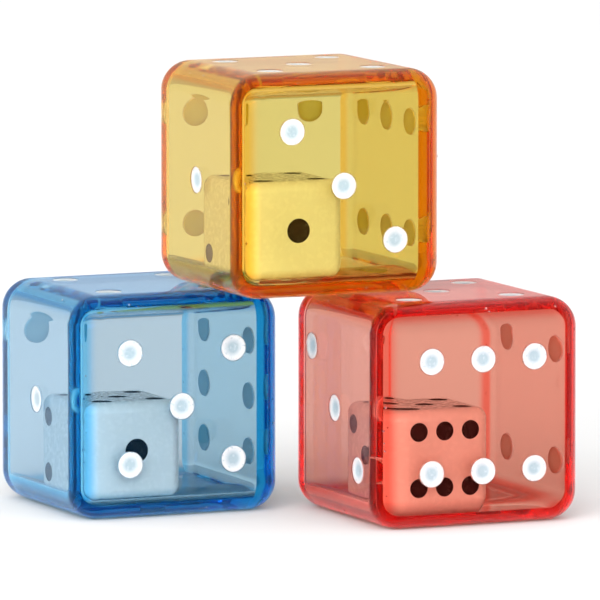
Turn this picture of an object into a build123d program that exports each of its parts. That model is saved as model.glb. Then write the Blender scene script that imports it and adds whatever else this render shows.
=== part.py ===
from build123d import *
import os

# A stack of three double dice. Each one is a clear tinted outer die, built as a five-walled box
# and a bonded lid, with an opaque white die half its size lying loose in the cavity.
#
# Row frame: +Z up, the dice faces square to X and Y, the fronts towards -Y. The origin is on the
# floor, under the middle of the stack's bounding box.
# Die frame: origin at the die's centre, 1 towards -X, 6 towards +X, 3 towards -Y, 4 towards +Y,
# 5 towards +Z and 2 towards -Z.

# ---- driving dimensions, mm ----
OUTER_EDGE = 89.0             # outer die across its flats
WALL = 7.0                    # clear wall, all six faces
OUTER_ROUND = 12.0            # edges and corners of the outer die
CAVITY_ROUND = 5.0            # inside corners of the moulded box
INNER_EDGE = 39.0             # inner die across its flats
INNER_ROUND = 4.4             # edges and corners of the inner die
OUTER_PIP_PITCH = OUTER_EDGE / 4
INNER_PIP_PITCH = OUTER_EDGE / 8
OUTER_PIP_DIA = 10.5
INNER_PIP_DIA = 7.6
INNER_ACE_DIA = 9.8           # the single pip on an inner die's 1 face is larger
OUTER_PIP_RECESS = 2.0        # depth of the blind recess in the clear wall
INNER_PIP_RECESS = 1.2
OUTER_PIP_DISH = 0.5          # hollow of the fill's open face, at its centre
INNER_PIP_DISH = 0.35
PIP_RIM_DROP = 0.15           # the fill's rim lies this far below the face
PIP_GAP = 0.02                # radial and end gap round the fill

# ---- lid joint, mm ----
BOND_GAP = 0.04               # thickness of the bond line
PLUG_DEPTH = 3.5              # plug under the lid, which fills the box's mouth
PLUG_GAP = 0.15

# ---- the stack, mm ----
INNER_CLEARANCE = 0.5         # inner die to each wall that it lies against
RED_INNER_SHIFT = 4.0         # the red inner die lies this much further from its left wall
STACK_GAP = 0.05              # under the upper die
LOWER_STAGGER_X = 97.5        # blue's centre to red's centre, along X
LOWER_STAGGER_Y = 73.3        # and along Y
UPPER_OFFSET_X = 5.0          # upper die's centre from the middle of the lower pair
UPPER_OFFSET_Y = -0.2

HALF = OUTER_EDGE / 2
CAVITY = OUTER_EDGE - 2 * WALL
INNER_OFFSET = CAVITY / 2 - INNER_EDGE / 2 - INNER_CLEARANCE

# The inner dice lie in the front, left and bottom corner. The red lid is the front wall, so its
# plug keeps the red one further back.
NEST = (-INNER_OFFSET, -INNER_OFFSET, -INNER_OFFSET)
RED_NEST = (RED_INNER_SHIFT - INNER_OFFSET, PLUG_DEPTH - INNER_OFFSET, -INNER_OFFSET)

# Pip centres of each value, in units of the pitch, on a face with local axes u and v.
PIP_GRID = {
    1: [(0, 0)],
    2: [(-1, -1), (1, 1)],
    3: [(-1, 1), (0, 0), (1, -1)],
    4: [(-1, -1), (-1, 1), (1, -1), (1, 1)],
    5: [(-1, -1), (-1, 1), (1, -1), (1, 1), (0, 0)],
    6: [(-1, -1), (0, -1), (1, -1), (-1, 1), (0, 1), (1, 1)],
}

# Each value's face in the die frame: its outward normal and its local u axis.
FACES = {
    1: ((-1, 0, 0), (0, 1, 0)),
    6: ((1, 0, 0), (0, 1, 0)),
    3: ((0, -1, 0), (1, 0, 0)),
    4: ((0, 1, 0), (1, 0, 0)),
    5: ((0, 0, 1), (1, 0, 0)),
    2: ((0, 0, -1), (1, 0, 0)),
}

VALUE_NAMES = {1: "one", 2: "two", 3: "three", 4: "four", 5: "five", 6: "six"}


def rounded_cube(edge, radius):
    """A cube with every edge and corner rounded."""
    cube = Box(edge, edge, edge)
    return fillet(cube.edges(), radius)


def face_plane(value, height):
    """A plane parallel to a value's face, at a height above the die's centre, normal outward."""
    normal, u_axis = FACES[value]
    centre = Vector(*normal) * height
    return Plane(origin=centre, x_dir=u_axis, z_dir=normal)


def pip_places(die, value):
    """The pip centres of one face, as locations whose local Z points out of the die."""
    plane = face_plane(value, die["edge"] / 2)
    return [plane * Pos(u * die["pitch"], v * die["pitch"], 0) for u, v in PIP_GRID[value]]


def pip_recesses(die, values):
    """Blind cylinders to cut out of a die, one for each pip of the given values."""
    cutters = []
    for value in values:
        cutter = Cylinder(die["pip_dia"][value] / 2, 2 * die["recess"])
        cutters += [place * cutter for place in pip_places(die, value)]
    return cutters


def pip_plug(diameter, depth, dish):
    """Enamel fill of one recess: a short cylinder with a dished open face, local Z outward."""
    radius = diameter / 2 - PIP_GAP
    bottom = PIP_GAP - depth
    rim = -PIP_RIM_DROP
    outline = Polyline((0, rim - dish), (0, bottom), (radius, bottom), (radius, rim))
    bowl = RadiusArc((radius, rim), (0, rim - dish), (radius * radius + dish * dish) / (2 * dish))
    section = make_face(Plane.XZ * (outline + bowl))
    return revolve(section, Axis.Z)


def pip_fills(die, value):
    """All the fills of one face, as one group of separate solids."""
    plug = pip_plug(die["pip_dia"][value], die["recess"], die["dish"])
    return Compound(children=[place * plug for place in pip_places(die, value)])


OUTER_DIE = {
    "edge": OUTER_EDGE,
    "pitch": OUTER_PIP_PITCH,
    "pip_dia": {value: OUTER_PIP_DIA for value in PIP_GRID},
    "recess": OUTER_PIP_RECESS,
    "dish": OUTER_PIP_DISH,
}

INNER_DIE = {
    "edge": INNER_EDGE,
    "pitch": INNER_PIP_PITCH,
    "pip_dia": {value: INNER_ACE_DIA if value == 1 else INNER_PIP_DIA for value in PIP_GRID},
    "recess": INNER_PIP_RECESS,
    "dish": INNER_PIP_DISH,
}


def cavity_block():
    """The moulded hollow: rounded at the 1 end and along its length, open through the 6 end."""
    block = Box(2 * CAVITY, CAVITY, CAVITY)
    far_end = block.faces().sort_by(Axis.X)[0].edges()
    rounded = fillet(far_end + block.edges().filter_by(Axis.X), CAVITY_ROUND)
    return Pos(CAVITY / 2, 0, 0) * rounded


def lid_side(start):
    """Everything on the lid's side of a plane across the die at x = start."""
    return Pos(start + OUTER_EDGE / 2, 0, 0) * Box(OUTER_EDGE, 2 * OUTER_EDGE, 2 * OUTER_EDGE)


def outer_box():
    """The five-walled box: faces 1 to 5, open at the 6 end."""
    shell = rounded_cube(OUTER_EDGE, OUTER_ROUND) - cavity_block()
    shell -= lid_side(CAVITY / 2 - BOND_GAP)
    return shell - pip_recesses(OUTER_DIE, [1, 2, 3, 4, 5])


def outer_lid():
    """The 6 face: a plate with the die's rounded border, and the plug that fills the mouth."""
    plate = rounded_cube(OUTER_EDGE, OUTER_ROUND) & lid_side(CAVITY / 2)
    width = CAVITY - 2 * PLUG_GAP
    plug = Box(PLUG_DEPTH, width, width)
    plug = fillet(plug.edges().filter_by(Axis.X), CAVITY_ROUND - PLUG_GAP)
    plug = Pos(CAVITY / 2 - PLUG_DEPTH / 2, 0, 0) * plug
    return (plate + plug) - pip_recesses(OUTER_DIE, [6])


def inner_cube():
    """The loose opaque die, with its pip recesses."""
    return rounded_cube(INNER_EDGE, INNER_ROUND) - pip_recesses(INNER_DIE, list(PIP_GRID))


def outer_parts():
    """Every piece of an outer die in the die frame, by the end of its node name."""
    pieces = {"outer_box": outer_box(), "outer_lid": outer_lid()}
    for value, name in VALUE_NAMES.items():
        pieces["outer_pips_" + name] = pip_fills(OUTER_DIE, value)
    return pieces


def inner_parts():
    """Every piece of an inner die in the die frame, by the end of its node name."""
    pieces = {"inner_cube": inner_cube()}
    for value, name in VALUE_NAMES.items():
        pieces["inner_pips_" + name] = pip_fills(INNER_DIE, value)
    return pieces


# Turns from the die frame to how each die lies, as a plane whose X and Z are the turned axes.
AS_DRAWN = Plane(origin=(0, 0, 0), x_dir=(1, 0, 0), z_dir=(0, 0, 1))
FIVE_TO_FRONT = Plane(origin=(0, 0, 0), x_dir=(1, 0, 0), z_dir=(0, -1, 0))
SIX_TO_FRONT = Plane(origin=(0, 0, 0), x_dir=(0, -1, 0), z_dir=(0, 0, 1))
ONE_TO_FRONT_FOUR_UP = Plane(origin=(0, 0, 0), x_dir=(0, 1, 0), z_dir=(1, 0, 0))
ONE_TO_FRONT_FIVE_UP = Plane(origin=(0, 0, 0), x_dir=(0, 1, 0), z_dir=(0, 0, 1))

# Each double die: its centre, how the outer die lies, where the inner die lies in it, and how.
STACK = {
    "blue": (
        (-LOWER_STAGGER_X / 2, LOWER_STAGGER_Y / 2, HALF),
        FIVE_TO_FRONT,
        NEST,
        ONE_TO_FRONT_FIVE_UP,
    ),
    "red": (
        (LOWER_STAGGER_X / 2, -LOWER_STAGGER_Y / 2, HALF),
        SIX_TO_FRONT,
        RED_NEST,
        SIX_TO_FRONT,
    ),
    "yellow": (
        (UPPER_OFFSET_X, UPPER_OFFSET_Y, HALF + OUTER_EDGE + STACK_GAP),
        AS_DRAWN,
        NEST,
        ONE_TO_FRONT_FOUR_UP,
    ),
}

os.makedirs("parts", exist_ok=True)
OUTER_PARTS = outer_parts()
INNER_PARTS = inner_parts()

for colour, (centre, outer_turn, nest, inner_turn) in STACK.items():
    outer_place = Pos(*centre) * outer_turn.location
    inner_place = Pos(*centre) * Pos(*nest) * inner_turn.location
    for name, piece in OUTER_PARTS.items():
        export_step(outer_place * piece, "parts/" + colour + "_" + name + ".step")
    for name, piece in INNER_PARTS.items():
        export_step(inner_place * piece, "parts/" + colour + "_" + name + ".step")
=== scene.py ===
import math
import random

import bmesh
import bpy
from mathutils import Matrix, Vector


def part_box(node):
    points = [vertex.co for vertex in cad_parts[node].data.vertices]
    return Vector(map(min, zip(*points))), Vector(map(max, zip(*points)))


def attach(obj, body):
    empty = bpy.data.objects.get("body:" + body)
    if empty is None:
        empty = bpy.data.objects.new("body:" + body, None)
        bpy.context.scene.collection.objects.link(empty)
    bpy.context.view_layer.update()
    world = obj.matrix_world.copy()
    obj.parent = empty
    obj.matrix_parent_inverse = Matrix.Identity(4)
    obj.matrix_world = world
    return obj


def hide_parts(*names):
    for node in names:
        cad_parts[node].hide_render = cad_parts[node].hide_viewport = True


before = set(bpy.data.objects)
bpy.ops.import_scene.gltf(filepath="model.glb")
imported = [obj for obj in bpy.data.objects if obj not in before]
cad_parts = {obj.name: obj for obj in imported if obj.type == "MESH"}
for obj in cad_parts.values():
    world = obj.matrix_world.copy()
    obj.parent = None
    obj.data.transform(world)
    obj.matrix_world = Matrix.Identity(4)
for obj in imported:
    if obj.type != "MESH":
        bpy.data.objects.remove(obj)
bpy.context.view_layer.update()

# A stack of three double dice, in metres. Every die's place, its edge, its pips and the side that
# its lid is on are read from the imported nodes. The sizes below are the mouldings' own.
COLOURS = ("blue", "red", "yellow")
VALUES = ("one", "two", "three", "four", "five", "six")
MM = 0.001

WALL = 7.0 * MM
PLUG_DEPTH = 3.5 * MM         # the lid's plug makes that side of the die thicker
CAVITY_ROUND = 5.0 * MM
FILL_BITE = 0.03 * MM         # the enamel keys this far into the plastic round it
FILL_DROP = 0.15 * MM         # enamel's rim below the face

# Of each make of die: the radius of its edges and the pitch of its pips. Of its pips: the depth
# of the recess, the radius of the lip, and the hollow of the enamel.
OUTER = {
    "round": 12.0 * MM,
    "pitch": 22.25 * MM,
    "recess": 2.0 * MM,
    "lip": 0.22 * MM,
    "dish": 0.55 * MM,
}
INNER = {
    "round": 4.4 * MM,
    "pitch": 11.125 * MM,
    "recess": 1.2 * MM,
    "lip": 0.14 * MM,
    "dish": 0.35 * MM,
}

# The rounded edges of the clear dice get a deeper colour: painted shade for the dark, rich bands that
# light's long paths through the thick edges make. These say where across half of a rounded edge it
# starts, and how much further on it is full.
EDGE_SHADE_START = 0.27             # how far across half of a rounded edge its deeper tint starts
EDGE_SHADE_CLIMB = 0.5              # and how much further on it is full
BUBBLES = 60                  # in each clear die
BUBBLE_RADIUS = (0.18, 0.55)  # smallest and largest, mm

TILE_CUTS = 8                 # quads along one of the nine tiles of a face
ARC_CUTS = 7                  # quads across half of a rounded edge
LIP_CUTS = 3                  # quads round the lip of a recess
FILL_RINGS = 7                # rings across the open face of a fill
SHARP_ANGLE = math.radians(35)


# ---------------------------------------------------------------- reading the frame

def corners(names):
    """Lowest and highest corner of several CAD nodes together."""
    boxes = [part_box(name) for name in names]
    low = Vector([min(b[0][i] for b in boxes) for i in range(3)])
    high = Vector([max(b[1][i] for b in boxes) for i in range(3)])
    return low, high


def side_of(node, centre):
    """The face of a die that a node lies on, as (axis, sign)."""
    low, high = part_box(node)
    offset = (low + high) / 2 - centre
    axis = max(range(3), key=lambda i: abs(offset[i]))
    return axis, (1 if offset[axis] > 0 else -1)


def pip_cells(node, centre, axis, pitch):
    """Which cells of a face's three by three grid hold a pip, and the pips' radius."""
    u, v = [i for i in range(3) if i != axis]
    cells, reach = set(), 0.0
    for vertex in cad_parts[node].data.vertices:
        across = (vertex.co[u] - centre[u]) / pitch
        up = (vertex.co[v] - centre[v]) / pitch
        cell = (round(across), round(up))
        cells.add(cell)
        reach = max(reach, math.hypot(across - cell[0], up - cell[1]) * pitch)
    return sorted(cells), reach


def read_die(body_nodes, pip_stem, make):
    """A die's centre, half edge and pips by side, from its CAD nodes."""
    low, high = corners(body_nodes)
    centre, half = (low + high) / 2, (high[0] - low[0]) / 2
    sides = {}
    for value in VALUES:
        node = pip_stem + value
        axis, sign = side_of(node, centre)
        cells, radius = pip_cells(node, centre, axis, make["pitch"])
        sides[axis, sign] = {"value": value, "node": node, "cells": cells, "radius": radius}
    return {"centre": centre, "half": half, "sides": sides}


# ---------------------------------------------------------------- mesh building

def side_matrix(centre, axis, sign):
    """Local u, v and outward w of one side of a die, to the row frame."""
    u, v = [i for i in range(3) if i != axis]
    matrix = Matrix.Identity(4)
    for row in range(3):
        matrix[row][0] = 1.0 if row == u else 0.0
        matrix[row][1] = 1.0 if row == v else 0.0
        matrix[row][2] = float(sign) if row == axis else 0.0
        matrix[row][3] = centre[row]
    return matrix


def grid_stops(half, radius, pitch):
    """Lines across a face: the rounded margins by even angle, the three tiles by even steps."""
    flat = half - radius
    arc = [flat + radius * math.tan(math.pi / 4 * k / ARC_CUTS) for k in range(1, ARC_CUTS + 1)]
    edges = [-flat, -pitch / 2, pitch / 2, flat]
    tiles = []
    for a, b in zip(edges, edges[1:]):
        tiles += [a + (b - a) * k / TILE_CUTS for k in range(TILE_CUTS)]
    return [-x for x in reversed(arc)] + tiles + [flat] + arc, edges


def rounded(a, b, half, radius):
    """A point of a flat square face moved onto the rounded die: local u, v, w."""
    flat = half - radius
    core = Vector((max(-flat, min(flat, a)), max(-flat, min(flat, b)), flat))
    offset = Vector((a, b, half)) - core
    return core + offset.normalized() * radius


def square_points(edge_u, edge_v):
    """The outline of a tile, anticlockwise from its low corner, one point for each quad."""
    (a, b), (c, d) = edge_u, edge_v
    steps = [k / TILE_CUTS for k in range(TILE_CUTS)]
    points = [(a + (b - a) * t, c) for t in steps]
    points += [(b, c + (d - c) * t) for t in steps]
    points += [(b - (b - a) * t, d) for t in steps]
    return points + [(a, d - (d - c) * t) for t in steps]


def circle_points(centre, radius):
    """The same number of points round a pip, starting towards the same corner."""
    count = 4 * TILE_CUTS
    low_corner = -0.375       # as a share of a turn
    turns = [2 * math.pi * (k / count + low_corner) for k in range(count)]
    return [(centre[0] + radius * math.cos(t), centre[1] + radius * math.sin(t)) for t in turns]


def bridge(bm, ring_a, ring_b, flip):
    """Quads between two closed rings of the same count."""
    count = len(ring_a)
    for k in range(count):
        n = (k + 1) % count
        quad = [ring_a[k], ring_a[n], ring_b[n], ring_b[k]]
        bm.faces.new(quad[::-1] if flip else quad)


def recess_profile(radius, make):
    """Radius and depth down into a blind recess, from its rounded lip to its floor."""
    lip, depth = make["lip"], make["recess"]
    profile = []
    for k in range(LIP_CUTS + 1):
        turn = math.pi / 2 * k / LIP_CUTS
        profile.append((radius + lip * (1 - math.sin(turn)), lip * (1 - math.cos(turn))))
    return profile + [(radius, depth - lip), (radius - lip, depth)]


def recessed_tile(bm, matrix, half, edge_u, edge_v, centre, radius, make, flip):
    """One tile of a face with a pip's recess in it."""
    outline = square_points(edge_u, edge_v)
    profile = recess_profile(radius, make)
    mouth = circle_points(centre, profile[0][0])
    middle = [((p[0] + q[0]) / 2, (p[1] + q[1]) / 2) for p, q in zip(outline, mouth)]
    rings = [[(u, v, half) for u, v in points] for points in (outline, middle)]
    for ring_radius, depth in profile:
        rings.append([(u, v, half - depth) for u, v in circle_points(centre, ring_radius)])
    made = [[bm.verts.new(matrix @ Vector(p)) for p in ring] for ring in rings]
    for a, b in zip(made, made[1:]):
        bridge(bm, a, b, flip)
    bm.faces.new(made[-1][::-1] if flip else made[-1])


def skin_side(bm, edge_shade_layer, matrix, flip, half, side, make):
    """One face of a die with its share of the rounded edges. The edge layer, the mask of the painted
    shade on the rounded edges, is nought on the flat and climbs to one towards the line where the face
    meets the next."""
    pitch, radius = make["pitch"], make["round"]
    stops, edges = grid_stops(half, radius, pitch)
    pips = set(side["cells"])
    verts = {}

    def corner(i, j):
        if (i, j) not in verts:
            verts[i, j] = bm.verts.new(matrix @ rounded(stops[i], stops[j], half, radius))
            # The mask of the painted shade on the rounded edges.
            overhang = max(abs(stops[i]), abs(stops[j])) - (half - radius)
            climb = min(max((overhang / radius - EDGE_SHADE_START) / EDGE_SHADE_CLIMB, 0.0), 1.0)
            verts[i, j][edge_shade_layer] = climb * climb * (3.0 - 2.0 * climb)
        return verts[i, j]

    for i in range(len(stops) - 1):
        for j in range(len(stops) - 1):
            tile = ((i - ARC_CUTS) // TILE_CUTS - 1, (j - ARC_CUTS) // TILE_CUTS - 1)
            if tile in pips:
                continue
            quad = [corner(i, j), corner(i + 1, j), corner(i + 1, j + 1), corner(i, j + 1)]
            bm.faces.new(quad[::-1] if flip else quad)
    for tu, tv in side["cells"]:
        edge_u, edge_v = edges[tu + 1:tu + 3], edges[tv + 1:tv + 3]
        centre = (tu * pitch, tv * pitch)
        recessed_tile(bm, matrix, half, edge_u, edge_v, centre, side["radius"], make, flip)


def add_skin(bm, die, make):
    """The whole outside of a die."""
    edge_shade_layer = bm.verts.layers.float.new("edge")
    for (axis, sign), side in die["sides"].items():
        matrix = side_matrix(die["centre"], axis, sign)
        flip = matrix.to_3x3().determinant() < 0
        skin_side(bm, edge_shade_layer, matrix, flip, die["half"], side, make)


def rounded_square(half, radius):
    """Outline of a square with rounded corners, anticlockwise."""
    points = []
    for corner in range(4):
        start = math.pi / 2 * corner
        cu = (half - radius) * (1 if corner in (0, 3) else -1)
        cv = (half - radius) * (1 if corner in (0, 1) else -1)
        for k in range(2 * ARC_CUTS + 1):
            turn = start + math.pi / 2 * k / (2 * ARC_CUTS)
            points.append((cu + radius * math.cos(turn), cv + radius * math.sin(turn)))
    return points


def add_cavity(bm, die, lid_side):
    """The hollow, with its faces turned inward: rounded at the far end, square at the plug."""
    matrix = side_matrix(die["centre"], *lid_side)
    half = die["half"] - WALL
    rings = []
    for k in range(2 * ARC_CUTS + 1):
        turn = math.pi / 2 * (1 - k / (2 * ARC_CUTS))
        inset = CAVITY_ROUND * (1 - math.cos(turn))
        height = -half + CAVITY_ROUND * (1 - math.sin(turn))
        rings.append((half - inset, max(CAVITY_ROUND - inset, 1e-6), height))
    rings.append((half, CAVITY_ROUND, half - PLUG_DEPTH))
    made = []
    for ring_half, ring_radius, height in rings:
        outline = rounded_square(ring_half, ring_radius)
        made.append([bm.verts.new(matrix @ Vector((u, v, height))) for u, v in outline])
    flip = matrix.to_3x3().determinant() > 0
    for a, b in zip(made, made[1:]):
        bridge(bm, a, b, flip)
    bm.faces.new(made[0] if flip else made[0][::-1])
    bm.faces.new(made[-1][::-1] if flip else made[-1])


def add_bubbles(bm, die, rng):
    """Small air bubbles frozen into the thick corners of the walls, faces turned inward."""
    reach = die["half"] - WALL / 2
    for _ in range(BUBBLES):
        along = rng.randrange(3)
        place = [rng.choice((-1, 1)) * (reach - rng.uniform(-0.7, 1.6) * MM) for _ in range(3)]
        place[along] = rng.uniform(-0.8, 0.8) * reach
        radius = rng.uniform(*BUBBLE_RADIUS) * MM
        moved = Matrix.Translation(die["centre"] + Vector(place))
        sized = Matrix.Diagonal((radius, radius, radius, 1))
        made = bmesh.ops.create_icosphere(bm, subdivisions=2, radius=1.0, matrix=moved @ sized)
        faces = {face for vert in made["verts"] for face in vert.link_faces}
        bmesh.ops.reverse_faces(bm, faces=list(faces))


def fill_profile(radius, make):
    """Section of one enamel fill, as radius, depth and shade: a dished face that climbs to its
    rim, and a bonded back."""
    profile = []
    for k in range(FILL_RINGS + 1):
        share = k / FILL_RINGS
        climb = share ** 2.4
        profile.append((radius * share, FILL_DROP + make["dish"] * (1 - climb), 1 - share))
    profile.append((radius, make["recess"] - FILL_BITE, -1.0))
    return profile


def add_fill(bm, shade, matrix, flip, half, centre, radius, make, rng):
    """One enamel fill, slightly uneven, as a turned solid. Its shade is 1 at the middle, 0 at the
    rim and -1 on the bonded back."""
    lean = rng.uniform(0, 2 * math.pi)
    uneven = rng.uniform(0.02, 0.07) * make["dish"]
    rings = []
    for ring_radius, depth, middle in fill_profile(radius + FILL_BITE, make)[1:]:
        ring = []
        for u, v in circle_points((0, 0), ring_radius):
            dip = uneven * max(middle, 0) * math.cos(2 * math.atan2(v, u) + lean)
            place = Vector((centre[0] + u, centre[1] + v, half - depth + dip))
            vert = bm.verts.new(matrix @ place)
            vert[shade] = middle
            ring.append(vert)
        rings.append(ring)
    top = bm.verts.new(matrix @ Vector((*centre, half - FILL_DROP - make["dish"])))
    top[shade] = 1.0
    inner = rings[0]
    for k in range(len(inner)):
        triangle = [top, inner[k], inner[(k + 1) % len(inner)]]
        bm.faces.new(triangle[::-1] if flip else triangle)
    for a, b in zip(rings, rings[1:]):
        bridge(bm, b, a, not flip)
    bm.faces.new(rings[-1] if flip else rings[-1][::-1])


def make_object(name, bm, material):
    """A mesh object with smooth faces and true normals on its flats."""
    bmesh.ops.remove_doubles(bm, verts=bm.verts, dist=1e-7)
    bmesh.ops.dissolve_degenerate(bm, edges=bm.edges, dist=1e-8)
    mesh = bpy.data.meshes.new(name)
    bm.to_mesh(mesh)
    bm.free()
    mesh.shade_smooth()
    mesh.set_sharp_from_angle(angle=SHARP_ANGLE)
    mesh.materials.append(material)
    piece = bpy.data.objects.new(name, mesh)
    bpy.context.scene.collection.objects.link(piece)
    weighted = piece.modifiers.new("true_normals", "WEIGHTED_NORMAL")
    weighted.keep_sharp = True
    weighted.weight = 80
    return piece


# ---------------------------------------------------------------- materials

def new_material(name):
    """A material with only a Principled shader in it, and the parts to build on."""
    material = bpy.data.materials.new(name)
    material.use_nodes = True
    nodes, links = material.node_tree.nodes, material.node_tree.links
    nodes.clear()
    output = nodes.new("ShaderNodeOutputMaterial")
    shader = nodes.new("ShaderNodeBsdfPrincipled")
    links.new(shader.outputs["BSDF"], output.inputs["Surface"])
    return material, nodes, links, shader, output


def object_noise(nodes, links, scale, detail=3.0, stretch=(1, 1, 1)):
    """Noise in the object's own coordinates: scale is in cycles per metre."""
    coords = nodes.new("ShaderNodeTexCoord")
    mapping = nodes.new("ShaderNodeMapping")
    mapping.inputs["Scale"].default_value = stretch
    noise = nodes.new("ShaderNodeTexNoise")
    noise.inputs["Scale"].default_value = scale
    noise.inputs["Detail"].default_value = detail
    links.new(coords.outputs["Object"], mapping.inputs["Vector"])
    links.new(mapping.outputs["Vector"], noise.inputs["Vector"])
    return noise.outputs["Fac"]


def spread(nodes, links, source, low, high, out_low, out_high):
    """Source's range low to high, mapped onto another range."""
    remap = nodes.new("ShaderNodeMapRange")
    remap.inputs["From Min"].default_value = low
    remap.inputs["From Max"].default_value = high
    remap.inputs["To Min"].default_value = out_low
    remap.inputs["To Max"].default_value = out_high
    links.new(source, remap.inputs["Value"])
    return remap.outputs["Result"]


def blend_colours(nodes, links, factor, colour_a, colour_b):
    """From colour_a at nought to colour_b at one. Each is a constant or another node's colour."""
    mix = nodes.new("ShaderNodeMix")
    mix.data_type = "RGBA"
    links.new(factor, mix.inputs[0])
    for socket, colour in ((mix.inputs[6], colour_a), (mix.inputs[7], colour_b)):
        if isinstance(colour, tuple):
            socket.default_value = (*colour, 1)
        else:
            links.new(colour, socket)
    return mix.outputs[2]


def add_bump(nodes, links, shader, heights):
    """Several heights, each (source, depth in metres), stacked into one normal."""
    normal = None
    for source, depth in heights:
        bump = nodes.new("ShaderNodeBump")
        bump.inputs["Strength"].default_value = 1.0
        bump.inputs["Distance"].default_value = depth
        links.new(source, bump.inputs["Height"])
        if normal is not None:
            links.new(normal, bump.inputs["Normal"])
        normal = bump.outputs["Normal"]
    links.new(normal, shader.inputs["Normal"])


def seam_line(nodes, links, axis, place):
    """Nought in the hairline groove over the lid's bond, and one everywhere else. The groove is
    at one place along an axis of the object."""
    coords = nodes.new("ShaderNodeTexCoord")
    split = nodes.new("ShaderNodeSeparateXYZ")
    links.new(coords.outputs["Object"], split.inputs[0])
    offset = nodes.new("ShaderNodeMath")
    offset.operation = "SUBTRACT"
    offset.inputs[1].default_value = place
    links.new(split.outputs[axis], offset.inputs[0])
    reach = nodes.new("ShaderNodeMath")
    reach.operation = "ABSOLUTE"
    links.new(offset.outputs[0], reach.inputs[0])
    return spread(nodes, links, reach.outputs[0], 0.06 * MM, 0.22 * MM, 0.0, 1.0)


def clear_tint(name, tint, seam_axis, seam_place):
    """Clear acrylic, dyed through. Of the tint, absorption is per metre for red, green and blue, film
    is what the flats let by, edge is a deeper colour painted on the rounded edges as painted shade,
    standing in for the darker, richer colour that light's long paths through the thick edges give
    them, and bloom is the glow of the surface seen edge on."""
    absorption, bloom = tint["absorption"], tint["bloom"]
    material, nodes, links, shader, output = new_material(name)
    painted_edge_shade = nodes.new("ShaderNodeAttribute")
    painted_edge_shade.attribute_name = "edge"
    # Painted shade: the rounded edges take the deeper edge colour into their base colour.
    base = blend_colours(nodes, links, painted_edge_shade.outputs["Fac"], tint["film"], tint["edge"])
    links.new(base, shader.inputs["Base Color"])
    shader.inputs["Transmission Weight"].default_value = 1.0
    shader.inputs["IOR"].default_value = 1.49
    shader.inputs["Specular IOR Level"].default_value = 0.2
    shader.inputs["Specular Tint"].default_value = (*[0.15 * c for c in bloom], 1)
    shader.inputs["Sheen Weight"].default_value = 0.22
    shader.inputs["Sheen Roughness"].default_value = 0.5
    shader.inputs["Sheen Tint"].default_value = (*bloom, 1)
    haze = object_noise(nodes, links, 160, 4)
    links.new(spread(nodes, links, haze, 0.45, 0.8, 0.0, 0.05), shader.inputs["Roughness"])
    moulding_waves = object_noise(nodes, links, 24, 1.5, (1, 1, 0.45))
    rubs = object_noise(nodes, links, 420, 2)
    seam = seam_line(nodes, links, seam_axis, seam_place)
    add_bump(nodes, links, shader, [(moulding_waves, 0.00006), (rubs, 0.0000012), (seam, 0.00008)])
    volume = nodes.new("ShaderNodeVolumeAbsorption")
    density = max(absorption)
    volume.inputs["Density"].default_value = density
    volume.inputs["Color"].default_value = (*[1 - a / density for a in absorption], 1)
    links.new(volume.outputs["Volume"], output.inputs["Volume"])
    return material


def enamel(name, paint, back, roughness, specular, depth_of_light):
    """Pip fill: rim colour to the colour in the middle of the dish, which on the white pips is darker
    and cooler as painted shade in the hollow, mottled, with a satin surface. The back is the bonded
    side, seen through the plastic."""
    material, nodes, links, shader, _ = new_material(name)
    dish = nodes.new("ShaderNodeAttribute")
    dish.attribute_name = "dish"
    # Painted shade: the middle of the dish is given the darker middle colour.
    dish_shade = spread(nodes, links, dish.outputs["Fac"], 0.1, 0.65, 0.0, 1.0)
    front = blend_colours(nodes, links, dish_shade, paint["rim"], paint["middle"])
    mottle = object_noise(nodes, links, 900, 4)
    flecks = spread(nodes, links, mottle, 0.56, 0.68, 0.0, 1.0)
    mottled = blend_colours(nodes, links, flecks, front, paint["fleck"])
    bonded = spread(nodes, links, dish.outputs["Fac"], -1.0, -0.1, 1.0, 0.0)
    links.new(blend_colours(nodes, links, bonded, mottled, back), shader.inputs["Base Color"])
    links.new(spread(nodes, links, mottle, 0.3, 0.7, roughness * 0.75, roughness * 1.35),
              shader.inputs["Roughness"])
    shader.inputs["Specular IOR Level"].default_value = specular
    shader.inputs["Subsurface Weight"].default_value = 1.0 if depth_of_light else 0.0
    shader.inputs["Subsurface Radius"].default_value = (depth_of_light, depth_of_light, depth_of_light)
    shader.inputs["Subsurface Scale"].default_value = 1.0
    add_bump(nodes, links, shader, [(mottle, 0.00006)])
    return material


def white_moulding(name):
    """Opaque white plastic: faintly warm, softly polished, with tumbling rubs."""
    material, nodes, links, shader, _ = new_material(name)
    cloud = object_noise(nodes, links, 60, 4)
    shade = spread(nodes, links, cloud, 0.35, 0.7, 0.0, 1.0)
    base = blend_colours(nodes, links, shade, (0.95, 0.945, 0.93), (0.91, 0.90, 0.87))
    links.new(base, shader.inputs["Base Color"])
    rubs = object_noise(nodes, links, 500, 5)
    links.new(spread(nodes, links, rubs, 0.35, 0.7, 0.16, 0.36), shader.inputs["Roughness"])
    shader.inputs["Coat Weight"].default_value = 0.7
    shader.inputs["Coat Roughness"].default_value = 0.14
    add_bump(nodes, links, shader, [(rubs, 0.00002)])
    return material


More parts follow.
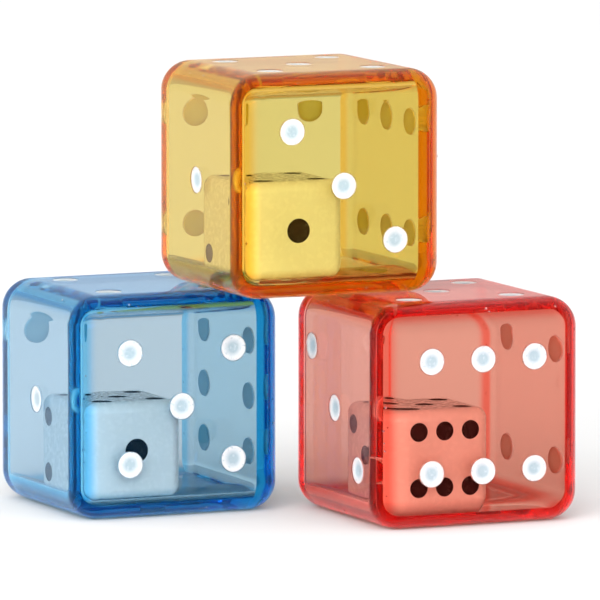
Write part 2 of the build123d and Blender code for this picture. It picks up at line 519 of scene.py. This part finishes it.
# Each dye, as clear_tint takes it; its edge colour is painted shade on the rounded edges. The stain is
# the colour that it gives to the bonded backs of the white pips.
TINTS = {
    "blue": {
        "absorption": (48.0, 14.0, 6.0),
        "film": (0.92, 0.82, 0.83),
        "edge": (0.12, 0.52, 0.88),
        "bloom": (0.02, 0.40, 1.0),
        "stain": (0.40, 0.74, 1.0),
    },
    "red": {
        "absorption": (2.0, 36.0, 42.0),
        "film": (0.87, 0.77, 0.70),
        "edge": (1.0, 0.14, 0.10),
        "bloom": (1.0, 0.05, 0.03),
        "stain": (1.0, 0.62, 0.50),
    },
    "yellow": {
        "absorption": (3.0, 18.0, 85.0),
        "film": (0.85, 0.87, 0.78),
        "edge": (1.0, 0.54, 0.09),
        "bloom": (1.0, 0.42, 0.03),
        "stain": (1.0, 0.84, 0.32),
    },
}

# The enamels: at a pip's rim, in the middle of its dish, where the white's darker grey-blue is painted
# shade in the hollow, and in the flecks.
BLACK = {
    "rim": (0.003, 0.003, 0.003),
    "middle": (0.005, 0.005, 0.006),
    "fleck": (0.06, 0.06, 0.058),
}
WHITE = {
    "rim": (0.74, 0.75, 0.76),
    "middle": (0.31, 0.40, 0.45),
    "fleck": (0.42, 0.50, 0.55),
}

BLACK_ENAMEL = enamel("black_enamel", BLACK, BLACK["rim"], 0.5, 0.1, 0.0)
WHITE_PLASTIC = white_moulding("white_plastic")


# ---------------------------------------------------------------- the dice

def make_fills(die, body, make, material):
    """The enamel of every face of a die, one piece for each CAD node."""
    pitch = make["pitch"]
    for (axis, sign), side in die["sides"].items():
        rng = random.Random(side["node"])
        bm = bmesh.new()
        shade = bm.verts.layers.float.new("dish")
        matrix = side_matrix(die["centre"], axis, sign)
        flip = matrix.to_3x3().determinant() < 0
        for tu, tv in side["cells"]:
            centre = (tu * pitch, tv * pitch)
            add_fill(bm, shade, matrix, flip, die["half"], centre, side["radius"], make, rng)
        piece = make_object(side["node"].replace("pips", "enamel"), bm, material)
        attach(piece, body)
        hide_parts(side["node"])


def outer_nodes(colour):
    """The CAD nodes of one colour's clear shell."""
    return [colour + "_outer_box", colour + "_outer_lid"]


def make_outer(colour):
    """The clear shell of one colour, its box and its bonded lid as one optical body."""
    box, lid = outer_nodes(colour)
    die = read_die([box, lid], colour + "_outer_pips_", OUTER)
    bm = bmesh.new()
    add_skin(bm, die, OUTER)
    axis, sign = side_of(lid, die["centre"])
    add_cavity(bm, die, (axis, sign))
    add_bubbles(bm, die, random.Random(colour))
    bond = die["centre"][axis] + sign * (die["half"] - WALL)
    acrylic = clear_tint(colour + "_clear", TINTS[colour], axis, bond)
    shell = make_object(colour + "_clear_shell", bm, acrylic)
    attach(shell, colour + "_outer_die")
    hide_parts(box, lid)
    paint = enamel(colour + "_side_white_enamel", WHITE, TINTS[colour]["stain"], 0.34, 0.4, 0.006)
    make_fills(die, colour + "_outer_die", OUTER, paint)


def make_inner(colour):
    """The loose white die of one colour."""
    cube = colour + "_inner_cube"
    die = read_die([cube], colour + "_inner_pips_", INNER)
    bm = bmesh.new()
    add_skin(bm, die, INNER)
    body = make_object(colour + "_white_die", bm, WHITE_PLASTIC)
    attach(body, colour + "_inner_die")
    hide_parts(cube)
    make_fills(die, colour + "_inner_die", INNER, BLACK_ENAMEL)


for colour in COLOURS:
    make_outer(colour)
    make_inner(colour)


# ---------------------------------------------------------------- floor, lights and camera

def make_floor():
    """A wide pale floor, a hair under the dice."""
    size, drop = 14.0, 0.0002
    bm = bmesh.new()
    bmesh.ops.create_grid(bm, x_segments=2, y_segments=2, size=size)
    mesh = bpy.data.meshes.new("floor")
    bm.to_mesh(mesh)
    bm.free()
    floor = bpy.data.objects.new("floor", mesh)
    bpy.context.scene.collection.objects.link(floor)
    floor.location.z = -drop
    material, nodes, links, shader, _ = new_material("pale_floor")
    grain = object_noise(nodes, links, 6, 2)
    links.new(blend_colours(nodes, links, grain, (0.73, 0.73, 0.73), (0.745, 0.745, 0.745)),
              shader.inputs["Base Color"])
    shader.inputs["Roughness"].default_value = 0.8
    shader.inputs["Specular IOR Level"].default_value = 0.1
    mesh.materials.append(material)


def make_key_light():
    """A wide soft box at the front left, aimed at the middle of the stack."""
    place, target = Vector((-1.25, -1.49, 0.60)), Vector((0, 0, 0.09))
    data = bpy.data.lights.new("key", "AREA")
    data.shape = "RECTANGLE"
    data.size, data.size_y = 1.2, 1.4
    data.energy = 34.0
    light = bpy.data.objects.new("key", data)
    light.location = place
    light.rotation_euler = (target - place).to_track_quat("-Z", "Y").to_euler()
    bpy.context.scene.collection.objects.link(light)


def sky_lobe(nodes, links, direction, power):
    """One towards a direction, falling smoothly to nought at a right angle to it."""
    coords = nodes.new("ShaderNodeTexCoord")
    facing = nodes.new("ShaderNodeVectorMath")
    facing.operation = "DOT_PRODUCT"
    facing.inputs[1].default_value = Vector(direction).normalized()
    links.new(coords.outputs["Generated"], facing.inputs[0])
    lobe = nodes.new("ShaderNodeMath")
    lobe.operation = "POWER"
    lobe.inputs[1].default_value = power
    links.new(spread(nodes, links, facing.outputs["Value"], 0.0, 1.0, 0.0, 1.0), lobe.inputs[0])
    return lobe.outputs[0]


def make_world():
    """A white studio, brighter at the front left and dimmer behind the dice."""
    world = bpy.data.worlds.new("studio")
    world.use_nodes = True
    nodes, links = world.node_tree.nodes, world.node_tree.links
    background = nodes["Background"]
    background.inputs["Color"].default_value = (1, 1, 1, 1)
    front_left = sky_lobe(nodes, links, (-0.50, -0.84, 0.20), 2.0)
    bright = spread(nodes, links, front_left, 0.0, 1.0, 1.0, 3.4)
    behind = sky_lobe(nodes, links, (0.40, 0.90, 0.20), 4.0)
    dim = spread(nodes, links, behind, 0.0, 1.0, 1.0, 0.6)
    total = nodes.new("ShaderNodeMath")
    total.operation = "MULTIPLY"
    links.new(bright, total.inputs[0])
    links.new(dim, total.inputs[1])
    links.new(total.outputs[0], background.inputs["Strength"])
    bpy.context.scene.world = world


def make_camera():
    """A long lens, far away, left of the fronts and a little above."""
    low, high = corners(outer_nodes("blue"))
    blue_centre = (low + high) / 2
    edge = high.x - low.x
    left, forward, height = 17.04 * edge, 40.06 * edge, 6.12 * edge
    azimuth, fall = math.radians(24.0), math.radians(6.81)
    data = bpy.data.cameras.new("camera")
    data.sensor_width = 36.0
    data.lens = 585.4
    data.clip_end = 100.0
    camera = bpy.data.objects.new("camera", data)
    camera.location = (blue_centre.x - left, blue_centre.y - forward, height)
    level = math.cos(fall)
    heading = Vector((math.sin(azimuth) * level, math.cos(azimuth) * level, -math.sin(fall)))
    camera.rotation_euler = heading.to_track_quat("-Z", "Y").to_euler()
    bpy.context.scene.collection.objects.link(camera)
    bpy.context.scene.camera = camera


make_floor()
make_world()
make_key_light()
make_camera()

scene = bpy.context.scene
scene.view_settings.view_transform = "Standard"
scene.cycles.max_bounces = 48
scene.cycles.transmission_bounces = 40
scene.cycles.glossy_bounces = 32
scene.cycles.diffuse_bounces = 4
